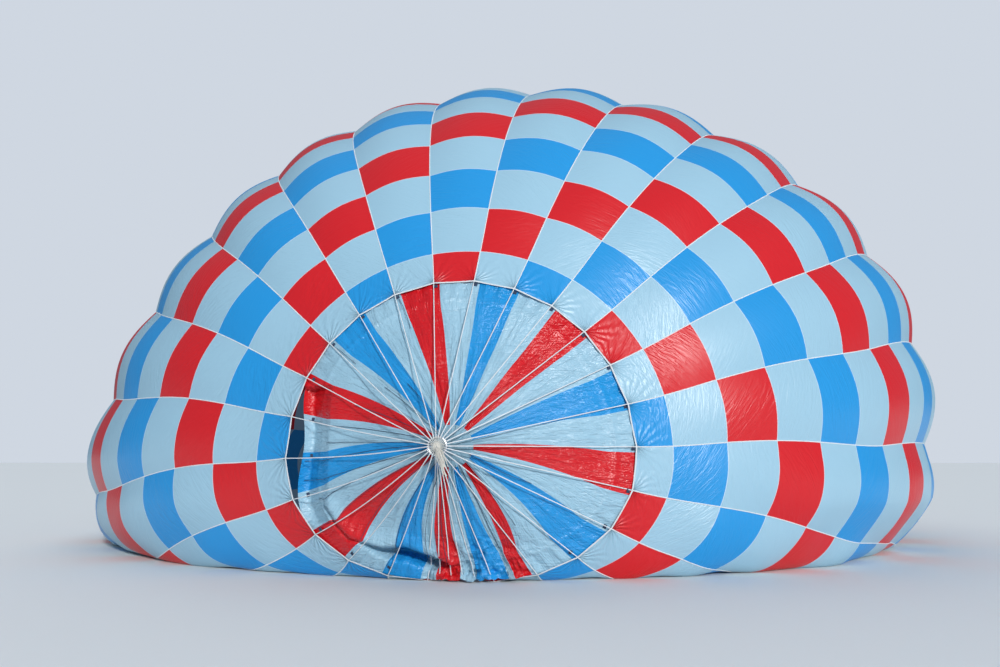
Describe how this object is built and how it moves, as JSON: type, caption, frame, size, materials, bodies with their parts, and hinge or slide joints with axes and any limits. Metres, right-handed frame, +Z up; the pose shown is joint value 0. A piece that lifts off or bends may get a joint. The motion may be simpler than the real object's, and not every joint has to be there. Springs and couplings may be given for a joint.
{
  "type": "hot air balloon lying on its side, filled with cold air",
  "caption": "Hot air balloon as it lies while a fan fills it: chequered envelope bulging over the ground, parachute vent, flying wires, gimballed burner and wicker basket on its side.",
  "frame": {"origin": "on the ground, under the middle of the whole object's box", "axes": "+Z up, -Y the way the crown faces, +Y towards the mouth and the basket, +X to the right seen from the crown"},
  "size_m": [16.6524, 26.2154, 9.551],
  "materials": {
    "envelope_red": "coated nylon, slight sheen",
    "envelope_light_blue": "coated nylon, slight sheen",
    "envelope_mid_blue": "coated nylon, slight sheen",
    "vent_fabric": "coated nylon in red and two blues",
    "load_tape": "white woven tape",
    "mouth_fabric": "black flame-resistant cloth",
    "alloy": "satin",
    "steel": "brushed tube",
    "wire": "stranded stainless wire",
    "burner_block": "black, satin",
    "burner_steel": "stainless can with heat tint",
    "wicker": "woven willow and cane, varnished",
    "leather": "brown hide, stitched",
    "floor_wood": "plywood board with hardwood runners",
    "cylinder": "bare alloy, scuffed"
  },
  "bodies": {
    "root": {"gore_01": "envelope_red", "gore_02": "envelope_light_blue", "gore_03": "envelope_mid_blue", "gore_04": "envelope_light_blue", "gore_05": "envelope_red", "gore_06": "envelope_light_blue", "gore_07": "envelope_mid_blue", "gore_08": "envelope_light_blue", "gore_09": "envelope_red", "gore_10": "envelope_light_blue", "gore_11": "envelope_mid_blue", "gore_12": "envelope_light_blue", "gore_13": "envelope_red", "gore_14": "envelope_light_blue", "gore_15": "envelope_mid_blue", "gore_16": "envelope_light_blue", "gore_17": "envelope_red", "gore_18": "envelope_light_blue", "gore_19": "envelope_mid_blue", "gore_20": "envelope_light_blue", "gore_21": "envelope_red", "gore_22": "envelope_light_blue", "gore_23": "envelope_mid_blue", "gore_24": "envelope_light_blue", "gore_25": "envelope_red", "gore_26": "envelope_light_blue", "gore_27": "envelope_mid_blue", "gore_28": "envelope_light_blue", "crown_web": "load_tape", "crown_ring": "alloy", "mouth_band": "mouth_fabric", "load_frame": "steel", "flying_wires_upper_left": "wire", "flying_wires_upper_right": "wire", "flying_wires_lower_right": "wire", "flying_wires_lower_left": "wire", "karabiner_upper_left": "alloy", "karabiner_upper_right": "alloy", "karabiner_lower_right": "alloy", "karabiner_lower_left": "alloy", "upright_upper_left": "leather", "upright_upper_right": "leather", "upright_lower_right": "leather", "upright_lower_left": "leather", "basket_wall": "wicker", "basket_rim": "leather", "basket_edging": "leather", "basket_floor": "floor_wood", "fuel_cylinder_upper_left": "cylinder", "fuel_cylinder_upper_right": "cylinder", "fuel_cylinder_lower_right": "cylinder", "fuel_cylinder_lower_left": "cylinder"},
    "vent": {"vent_panel": "vent_fabric"},
    "gimbal": {"gimbal_ring": "steel"},
    "burners": {"burner_manifold": "burner_block", "burner_left": "burner_steel", "burner_right": "burner_steel"}
  },
  "joints": [
    {"name": "vent_slide", "type": "slide", "parent": "root", "child": "vent", "axis": [0, 1, 0], "range_m": [0, 1]},
    {"name": "gimbal_tilt", "type": "hinge", "parent": "root", "child": "gimbal", "pos_m": [0.0259, 10.9951, 0.6], "axis": [1, 0, 0], "range_deg": [-18, 18]},
    {"name": "burner_swing", "type": "hinge", "parent": "gimbal", "child": "burners", "pos_m": [0.0259, 10.9951, 0.6], "axis": [0, 0, 1], "range_deg": [-18, 18]}
  ]
}
